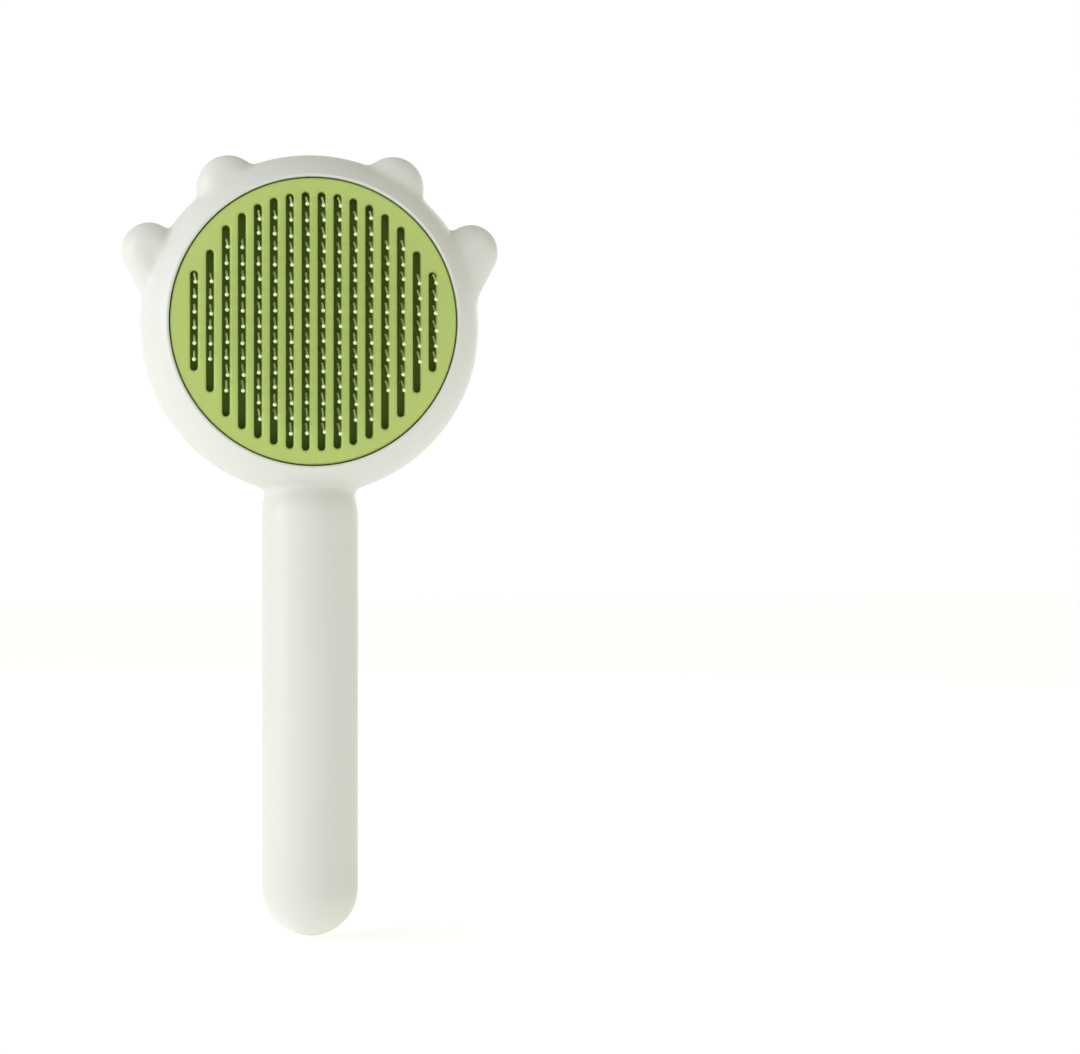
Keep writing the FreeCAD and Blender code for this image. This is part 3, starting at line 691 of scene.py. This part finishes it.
def build_needles(wire_material, tip_material):
    """The staples and the beads, column by column, and the beads at the field's corners."""
    border = []
    found = staples()
    for column in range(1, len(STAPLE_ROWS) + 1):
        wires = []
        beads = []
        for staple in (each for each in found if each["column"] == column):
            (left, left_border), (right, right_border) = staple["tips"]
            left_x = staple["x"] - SLOT_PITCH / 2
            right_x = staple["x"] + SLOT_PITCH / 2
            z = staple["z"]
            corners = [
                left, Vector((left_x, KNEE_Y, z)), Vector((left_x, CROWN_Y, z)),
                Vector((right_x, CROWN_Y, z)), Vector((right_x, KNEE_Y, z)), right,
            ]
            radii = [KNEE_BEND_RADIUS, CROWN_BEND_RADIUS, CROWN_BEND_RADIUS, KNEE_BEND_RADIUS]
            wires.append(tube(rounded_path(corners, radii), WIRE_RADIUS, WIRE_SIDES))
            ends = ((left, corners[1], left_border), (right, corners[4], right_border))
            for tip, knee, at_border in ends:
                shape = bead(tip, (knee - tip).normalized())
                (border if at_border else beads).append(shape)
        piece = new_piece(f"staples_{column}", *join(wires), "housing", "needle_wire", wire_material)
        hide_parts(f"needle_wires_{column}")
        piece = new_piece(f"beads_{column}", *join(beads), "housing", "tip_resin", tip_material)
        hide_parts(f"needle_tips_{column}")
    piece = new_piece("beads_corner", *join(border), "housing", "tip_resin", tip_material)
    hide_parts("needle_tips_border")


# --- Button ---

BUTTON_RADIUS = 16.25
BUTTON_FOOT_Y = 9.2
BUTTON_SHOULDER_Y = 13.2
BUTTON_CROWN_Y = 18.2
BUTTON_WALL = 1.85
BUTTON_POWER = 2.4
BUTTON_STEPS = 40
BUTTON_SIDES = 180
BUTTON_POLE_RADIUS = 0.6


def button_profile(inset):
    """The button's outline as (radius, y) from its foot to near its middle, shrunk by inset."""
    radius = BUTTON_RADIUS - inset
    rise = BUTTON_CROWN_Y - inset - BUTTON_SHOULDER_Y
    first = math.asin((BUTTON_POLE_RADIUS / radius) ** (BUTTON_POWER / 2))
    profile = [(radius, BUTTON_FOOT_Y)]
    for turn in np.linspace(math.pi / 2, first, BUTTON_STEPS):
        out = radius * math.sin(turn) ** (2 / BUTTON_POWER)
        profile.append((out, BUTTON_SHOULDER_Y + rise * max(math.cos(turn), 0) ** (2 / BUTTON_POWER)))
    return profile


def build_button(material):
    """The hollow domed push button, turned round the head's axis."""
    points = []
    for radius, y in button_profile(0)[::-1] + button_profile(BUTTON_WALL):
        middle = Vector((0, y, HEAD_Z))
        points.extend(round_row(middle, Vector((1, 0, 0)), Vector((0, 0, 1)), radius, BUTTON_SIDES))
    rows, quads = sleeve(points, BUTTON_SIDES)
    faces = quads + [rows[0], rows[-1]]
    piece = new_piece("button_cap", points, faces, "ejector", "button_plastic", material)
    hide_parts("button")


# --- Return spring ---

SPRING_LOW_Y = -6.2
SPRING_HIGH_Y = 7.4
SPRING_COIL_RADIUS = 6.9
SPRING_WIRE_RADIUS = 0.45
SPRING_TURNS = 6.0
SPRING_DEAD_TURNS = 0.8
SPRING_STEPS = 180
SPRING_SIDES = 10


def build_spring(material):
    """A coil spring with closed end turns."""
    path = []
    low = SPRING_LOW_Y + SPRING_WIRE_RADIUS
    high = SPRING_HIGH_Y - SPRING_WIRE_RADIUS
    dead_rise = 2 * SPRING_WIRE_RADIUS * SPRING_DEAD_TURNS
    heights = [low, low + dead_rise, high - dead_rise, high]
    knots = [0, SPRING_DEAD_TURNS, SPRING_TURNS - SPRING_DEAD_TURNS, SPRING_TURNS]
    for step in range(SPRING_STEPS + 1):
        turns = SPRING_TURNS * step / SPRING_STEPS
        y = float(np.interp(turns, knots, heights))
        angle = 2 * math.pi * turns
        path.append(Vector((
            SPRING_COIL_RADIUS * math.cos(angle), y, HEAD_Z + SPRING_COIL_RADIUS * math.sin(angle)
        )))
    points, faces = tube(path, SPRING_WIRE_RADIUS, SPRING_SIDES)
    spring = new_piece("coil_spring", points, faces, "housing", "spring_steel", material)
    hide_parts("return_spring")
    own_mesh(spring)


# --- Materials ---

# Each colour as its darkest and lightest shade.
SHELL_WHITE = ((0.70, 0.715, 0.65), (0.73, 0.74, 0.68))
PLATE_GREEN = ((0.455, 0.585, 0.145), (0.48, 0.61, 0.162))
BUTTON_GREEN = ((0.445, 0.575, 0.14), (0.47, 0.60, 0.155))
# The tray's deep green is made darker than its own colour so that the slots look dark inside: its own
# green plus painted shade.
TRAY_GREEN_AND_SLOT_SHADE = ((0.10, 0.165, 0.004), (0.12, 0.19, 0.007))
CARRIER_WHITE = ((0.72, 0.72, 0.68), (0.76, 0.76, 0.72))
NEEDLE_STEEL = ((0.76, 0.76, 0.72), (0.90, 0.90, 0.86))
SPRING_STEEL = ((0.45, 0.45, 0.46), (0.6, 0.6, 0.61))
SCREW_STEEL = ((0.62, 0.63, 0.65), (0.75, 0.76, 0.78))
RESIN_CREAM = ((0.70, 0.82, 0.44), (0.78, 0.89, 0.54))
PAPER_WHITE = ((0.93, 0.93, 0.925), (0.95, 0.95, 0.945))

# The spans of the values that patterns and wear are made from.
NOISE_SPAN = (0.3, 0.7)
EDGE_SPAN = (0.5, 0.62)
RIM_START = 0.85

# How much paler worn plastic is, and how light passes through plastic and resin.
WEAR_GAIN = 1.12
WEAR_LIFT = 0.02
REFRACTION = 1.5
SCATTER_RADII = (1.0, 0.8, 0.6)
SCATTER_DEPTH = 0.001


class Finish:
    """A procedural material round one Principled shader, on the object's own coordinates."""

    def __init__(self, name, metallic=0.0, coat=0.0, coat_roughness=0.1, subsurface=0.0):
        self.material = bpy.data.materials.new(name)
        self.material.use_nodes = True
        self.nodes = self.material.node_tree.nodes
        self.links = self.material.node_tree.links
        self.shader = self.nodes["Principled BSDF"]
        self.shader.inputs["Metallic"].default_value = metallic
        self.shader.inputs["Coat Weight"].default_value = coat
        self.shader.inputs["Coat Roughness"].default_value = coat_roughness
        self.shader.inputs["IOR"].default_value = REFRACTION
        if subsurface:
            self.shader.inputs["Subsurface Weight"].default_value = subsurface
            self.shader.inputs["Subsurface Radius"].default_value = SCATTER_RADII
            self.shader.inputs["Subsurface Scale"].default_value = SCATTER_DEPTH
        self.place = self.nodes.new("ShaderNodeTexCoord").outputs["Object"]
        self.height = None

    def noise(self, scale, detail, stretch=(1, 1, 1)):
        """A noise pattern. scale counts features per metre, and detail counts its finer layers."""
        mapping = self.nodes.new("ShaderNodeMapping")
        mapping.inputs["Scale"].default_value = stretch
        self.links.new(self.place, mapping.inputs["Vector"])
        pattern = self.nodes.new("ShaderNodeTexNoise")
        pattern.inputs["Scale"].default_value = scale
        pattern.inputs["Detail"].default_value = detail
        self.links.new(mapping.outputs["Vector"], pattern.inputs["Vector"])
        return pattern.outputs["Fac"]

    def stretched(self, value, span, low=0.0, high=1.0):
        """A value's span, stretched to run from low to high."""
        stretch = self.nodes.new("ShaderNodeMapRange")
        stretch.inputs["From Min"].default_value = span[0]
        stretch.inputs["From Max"].default_value = span[1]
        stretch.inputs["To Min"].default_value = low
        stretch.inputs["To Max"].default_value = high
        self.links.new(value, stretch.inputs["Value"])
        return stretch.outputs["Result"]

    def ramp(self, value, dark, light):
        """Colours that run from dark to light with the pattern."""
        ramp = self.nodes.new("ShaderNodeValToRGB")
        for element, position, colour in zip(ramp.color_ramp.elements, NOISE_SPAN, (dark, light)):
            element.position = position
            element.color = (*colour, 1)
        self.links.new(value, ramp.inputs["Fac"])
        return ramp.outputs["Color"]

    def colour(self, value, dark, light):
        """The base colour, from dark to light with the pattern."""
        self.links.new(self.ramp(value, dark, light), self.shader.inputs["Base Color"])

    def mix(self, factor, first, second):
        """The first colour where the factor is 0, and the second where it is 1."""
        mix = self.nodes.new("ShaderNodeMix")
        mix.data_type = "RGBA"
        self.links.new(factor, mix.inputs["Factor"])
        self.links.new(first, mix.inputs["A"])
        self.links.new(second, mix.inputs["B"])
        return mix.outputs["Result"]

    def rough(self, value, low, high):
        """Roughness that runs from low to high with the pattern."""
        self.links.new(self.stretched(value, NOISE_SPAN, low, high), self.shader.inputs["Roughness"])

    def bump(self, value, depth, strength):
        """Relief of that depth in metres, added to any bump already there."""
        bump = self.nodes.new("ShaderNodeBump")
        bump.inputs["Strength"].default_value = strength
        bump.inputs["Distance"].default_value = depth
        self.links.new(value, bump.inputs["Height"])
        if self.height is not None:
            self.links.new(self.height, bump.inputs["Normal"])
        self.height = bump.outputs["Normal"]
        self.links.new(self.height, self.shader.inputs["Normal"])

    def edge_wear(self):
        """A value that grows on convex edges."""
        shape = self.nodes.new("ShaderNodeNewGeometry")
        return self.stretched(shape.outputs["Pointiness"], EDGE_SPAN)

    def rim_wear(self, rim):
        """A value that grows towards a rim, with its radius in millimetres, round the head's axis."""
        flat = self.nodes.new("ShaderNodeVectorMath")
        flat.operation = "MULTIPLY_ADD"
        flat.inputs[1].default_value = (1, 0, 1)
        flat.inputs[2].default_value = (0, 0, -HEAD_Z * MM)
        self.links.new(self.place, flat.inputs[0])
        out = self.nodes.new("ShaderNodeVectorMath")
        out.operation = "LENGTH"
        self.links.new(flat.outputs["Vector"], out.inputs[0])
        return self.stretched(out.outputs["Value"], (RIM_START * rim * MM, rim * MM))

    def worn(self, rim):
        """Wear towards the rim, or on convex edges where there is none, broken up by noise."""
        wear = self.rim_wear(rim) if rim else self.edge_wear()
        broken = self.nodes.new("ShaderNodeMath")
        broken.operation = "MULTIPLY"
        self.links.new(wear, broken.inputs[0])
        self.links.new(self.noise(scale=350, detail=4), broken.inputs[1])
        return broken.outputs["Value"]


def moulded(name, dark, light, rough, rim=None, **shader):
    """Moulded plastic: faint flow marks in its colour and gloss, a fine texture, and paler worn edges."""
    finish = Finish(name, **shader)
    body = finish.ramp(finish.noise(scale=28, detail=3, stretch=(1, 1, 0.4)), dark, light)
    pale = tuple(min(1.0, value * WEAR_GAIN + WEAR_LIFT) for value in light)
    edge = finish.ramp(finish.noise(scale=200, detail=2), light, pale)
    finish.links.new(finish.mix(finish.worn(rim), body, edge), finish.shader.inputs["Base Color"])
    finish.rough(finish.noise(scale=60, detail=5), *rough)
    finish.bump(finish.noise(scale=35, detail=2), depth=0.00006, strength=0.5)
    finish.bump(finish.noise(scale=2600, detail=2), depth=0.00001, strength=0.35)
    return finish.material


def metal(name, dark, light, rough, stretch):
    """Drawn or plated metal: fine drawing lines and slightly uneven gloss."""
    finish = Finish(name, metallic=1.0)
    lines = finish.noise(scale=900, detail=4, stretch=stretch)
    finish.colour(lines, dark, light)
    finish.rough(finish.noise(scale=400, detail=4), *rough)
    finish.bump(lines, depth=0.00001, strength=0.5)
    return finish.material


def resin(name, dark, light, rough):
    """Cured resin beads: glossy, cream, a little cloudy and uneven from bead to bead."""
    finish = Finish(name, coat=0.6, coat_roughness=0.08, subsurface=0.3)
    finish.colour(finish.noise(scale=160, detail=2), dark, light)
    finish.rough(finish.noise(scale=900, detail=3), *rough)
    finish.bump(finish.noise(scale=1400, detail=2), depth=0.00004, strength=0.4)
    return finish.material


def paper(name, dark, light, rough):
    """Matt paper, lit a little from below as on a light table."""
    finish = Finish(name)
    finish.colour(finish.noise(scale=3, detail=2), dark, light)
    finish.rough(finish.noise(scale=40, detail=3), *rough)
    finish.shader.inputs["Emission Color"].default_value = (*WHITE, 1)
    finish.shader.inputs["Emission Strength"].default_value = FLOOR_GLOW
    return finish.material


def dress(node, material):
    """Gives a CAD node a material of its own."""
    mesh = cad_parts[node].data
    mesh.materials.clear()
    mesh.materials.append(material)


# --- Scene ---

# The camera: its place in metres, its lens and sensor in millimetres, and its shift in frame widths.
CAMERA_DISTANCE = 0.65
CAMERA_AZIMUTH = -4.0
CAMERA_HEIGHT = 0.0447
CAMERA_LENS = 84.6
CAMERA_SENSOR = 36
CAMERA_SHIFT = 0.213
CAMERA_NEAR = 0.01
CAMERA_FAR = 20

# The light: two soft lamps, and a surround that is white up to the horizon band, with the colours of
# the walls above it. Places and sizes are in metres.
LAMP_AIM = (0, 0, 0.06)
LAMP_SIZE = 0.6
KEY_PLACE = (-1.0, -0.25, 0.25)
KEY_POWER = 2.5
KEY_COLOUR = (0.97, 0.99, 1.1)
BACK_KEY_PLACE = (0.5, 0.95, 0.35)
BACK_KEY_POWER = 1.0
BACK_KEY_COLOUR = WHITE
SURROUND_STRENGTH = 1.02
WALL_LEFT = (0.97, 0.98, 1.0)
WALL_MIDDLE = (0.62, 0.62, 0.61)
WALL_RIGHT = (0.18, 0.17, 0.02)
HORIZON_BAND = 0.2

FLOOR_REACH = 3.0
FLOOR_GAP = 0.0005
FLOOR_GLOW = 0.37


def build_camera():
    """A long lens in front of the brush, a little to the left, with the frame shifted sideways."""
    data = bpy.data.cameras.new("camera")
    data.lens = CAMERA_LENS
    data.sensor_width = CAMERA_SENSOR
    data.shift_x = CAMERA_SHIFT
    data.clip_start = CAMERA_NEAR
    data.clip_end = CAMERA_FAR
    camera = bpy.data.objects.new("camera", data)
    angle = math.radians(CAMERA_AZIMUTH)
    camera.location = (
        CAMERA_DISTANCE * math.sin(angle), -CAMERA_DISTANCE * math.cos(angle), CAMERA_HEIGHT
    )
    camera.rotation_euler = (math.radians(90), 0, angle)
    bpy.context.scene.collection.objects.link(camera)
    bpy.context.scene.camera = camera


def soft_lamp(name, place, power, colour):
    """A big round lamp that points at the brush."""
    data = bpy.data.lights.new(name, "AREA")
    data.shape = "DISK"
    data.size = LAMP_SIZE
    data.energy = power
    data.color = colour
    light = bpy.data.objects.new(name, data)
    light.location = place
    light.rotation_euler = (Vector(LAMP_AIM) - Vector(place)).to_track_quat("-Z", "Y").to_euler()
    bpy.context.scene.collection.objects.link(light)


def build_surround():
    """White all round up to the horizon band, and above it dimmer towards the right."""
    world = bpy.data.worlds.new("surround")
    bpy.context.scene.world = world
    world.use_nodes = True
    nodes = world.node_tree.nodes
    links = world.node_tree.links
    direction = nodes.new("ShaderNodeSeparateXYZ")
    links.new(nodes.new("ShaderNodeTexCoord").outputs["Generated"], direction.inputs["Vector"])
    sideways = nodes.new("ShaderNodeMapRange")
    sideways.inputs["From Min"].default_value = -1.0
    links.new(direction.outputs["X"], sideways.inputs["Value"])
    walls = nodes.new("ShaderNodeValToRGB")
    walls.color_ramp.elements[0].color = (*WALL_LEFT, 1)
    walls.color_ramp.elements[1].color = (*WALL_RIGHT, 1)
    walls.color_ramp.elements.new(0.5).color = (*WALL_MIDDLE, 1)
    links.new(sideways.outputs["Result"], walls.inputs["Fac"])
    height = nodes.new("ShaderNodeMapRange")
    height.interpolation_type = "SMOOTHSTEP"
    height.inputs["From Min"].default_value = HORIZON_BAND
    height.inputs["From Max"].default_value = 2 * HORIZON_BAND
    links.new(direction.outputs["Z"], height.inputs["Value"])
    mix = nodes.new("ShaderNodeMix")
    mix.data_type = "RGBA"
    mix.inputs["A"].default_value = (*WHITE, 1)
    links.new(height.outputs["Result"], mix.inputs["Factor"])
    links.new(walls.outputs["Color"], mix.inputs["B"])
    background = nodes["Background"]
    background.inputs["Strength"].default_value = SURROUND_STRENGTH
    links.new(mix.outputs["Result"], background.inputs["Color"])


def build_floor():
    """A plain white sheet just below the brush."""
    z = cad_low.z - FLOOR_GAP
    corners = [(x * FLOOR_REACH, y * FLOOR_REACH, z) for x, y in ((-1, -1), (1, -1), (1, 1), (-1, 1))]
    mesh = bpy.data.meshes.new("floor")
    mesh.from_pydata(corners, [], [(0, 1, 2, 3)])
    mesh.materials.append(paper("floor_paper", *PAPER_WHITE, rough=(0.75, 0.9)))
    floor = bpy.data.objects.new("floor", mesh)
    bpy.context.scene.collection.objects.link(floor)


def main():
    """Sets up the camera and the light, makes the materials, and builds or dresses each part."""
    bpy.context.scene.view_settings.view_transform = "Standard"
    build_camera()
    soft_lamp("key", KEY_PLACE, KEY_POWER, KEY_COLOUR)
    soft_lamp("back_key", BACK_KEY_PLACE, BACK_KEY_POWER, BACK_KEY_COLOUR)
    build_surround()
    build_floor()
    shell = moulded("shell_plastic", *SHELL_WHITE, rough=(0.34, 0.44), subsurface=0.05)
    plate = moulded("plate_plastic", *PLATE_GREEN, rough=(0.38, 0.48))
    cap = moulded("button_plastic", *BUTTON_GREEN, rough=(0.24, 0.32), rim=BUTTON_RADIUS, coat=0.3)
    # The tray's colour carries painted shade for the insides of the slots.
    tray = moulded("base_plastic", *TRAY_GREEN_AND_SLOT_SHADE, rough=(0.7, 0.85))
    carrier = moulded("inner_plastic", *CARRIER_WHITE, rough=(0.5, 0.6))
    wire = metal("needle_wire", *NEEDLE_STEEL, rough=(0.26, 0.4), stretch=(1, 0.1, 1))
    coil = metal("spring_steel", *SPRING_STEEL, rough=(0.22, 0.35), stretch=(1, 1, 1))
    plated = metal("screw_steel", *SCREW_STEEL, rough=(0.15, 0.28), stretch=(1, 0.3, 1))
    beads = resin("tip_resin", *RESIN_CREAM, rough=(0.22, 0.38))
    build_shells(shell)
    build_needles(wire, beads)
    build_button(cap)
    build_spring(coil)
    dress("ejector_plate", plate)
    dress("needle_base", tray)
    dress("staple_backing_plate", carrier)
    dress("pusher", carrier)
    dress("needle_base_screws", plated)
    dress("pusher_screws", plated)


main()
